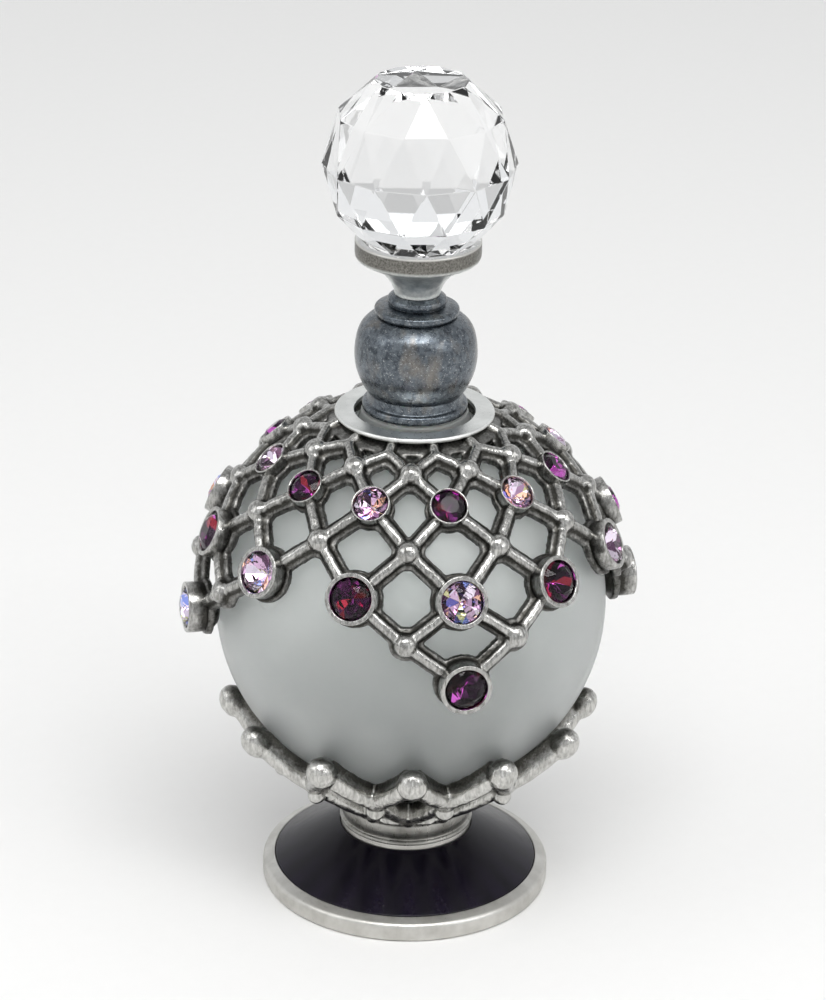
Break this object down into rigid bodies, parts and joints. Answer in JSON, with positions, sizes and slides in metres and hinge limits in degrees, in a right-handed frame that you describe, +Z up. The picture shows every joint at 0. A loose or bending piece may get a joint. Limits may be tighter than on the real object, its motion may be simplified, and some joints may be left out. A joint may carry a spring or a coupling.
{
  "type": "perfume bottle",
  "caption": "Globe perfume bottle of frosted glass in a cast net cap set with faceted stones, on an enamelled foot, with a lift-out dauber stopper topped by a faceted crystal ball.",
  "frame": {"origin": "centre of the foot's underside, on the table", "axes": "+Z up along the bottle's axis; a point of the net hangs on the -Y side"},
  "size_m": [0.0558, 0.0558, 0.1016],
  "materials": {
    "pewter": "satin cast pewter, finely brushed",
    "antique_pewter": "satin cast pewter with dark patina in the recesses",
    "blued_pewter": "mottled blue-grey patina with a soft shine",
    "dark_pewter": "grey-brown cast pewter, speckled",
    "enamel": "deep purple translucent enamel, high gloss, over a fluted ground",
    "frosted_glass": "acid-frosted outside, pale grey-green",
    "clear_glass": "clear, polished",
    "crystal": "clear, cut facets",
    "dark_amethyst": "dark amethyst, foiled back, cut facets",
    "light_amethyst": "light amethyst, foiled back, cut facets",
    "plug_plastic": "natural polyethylene",
    "steel": "plain drawn wire"
  },
  "bodies": {
    "bottle": {"foot": "pewter", "foot_enamel": "enamel", "foot_band": "pewter", "basket": "antique_pewter", "glass_bottle": "frosted_glass", "glass_neck": "frosted_glass", "net_cap": "antique_pewter", "neck_collar": "pewter", "small_stone_01": "dark_amethyst", "small_stone_02": "light_amethyst", "small_stone_03": "dark_amethyst", "small_stone_04": "light_amethyst", "small_stone_05": "dark_amethyst", "small_stone_06": "light_amethyst", "small_stone_07": "dark_amethyst", "small_stone_08": "light_amethyst", "small_stone_09": "dark_amethyst", "small_stone_10": "light_amethyst", "small_stone_11": "dark_amethyst", "small_stone_12": "light_amethyst", "large_stone_01": "light_amethyst", "large_stone_02": "dark_amethyst", "large_stone_03": "light_amethyst", "large_stone_04": "dark_amethyst", "large_stone_05": "light_amethyst", "large_stone_06": "dark_amethyst", "large_stone_07": "light_amethyst", "large_stone_08": "dark_amethyst", "large_stone_09": "light_amethyst", "large_stone_10": "dark_amethyst", "large_stone_11": "light_amethyst", "large_stone_12": "dark_amethyst", "point_stone_1": "dark_amethyst", "point_stone_2": "light_amethyst", "point_stone_3": "dark_amethyst", "point_stone_4": "light_amethyst"},
    "plug": {"neck_plug": "plug_plastic", "dauber_rod": "clear_glass"},
    "stopper": {"stopper_bulb": "blued_pewter", "finial_pin": "steel", "finial_dish": "dark_pewter", "crystal_ball": "crystal"}
  },
  "joints": [
    {"name": "stopper_lift", "type": "slide", "parent": "bottle", "child": "plug", "axis": [0, 0, 1], "range_m": [0, 0.042]},
    {"name": "stopper_turn", "type": "hinge", "parent": "plug", "child": "stopper", "pos_m": [0, 0, 0.0665], "axis": [0, 0, 1], "continuous": true}
  ]
}
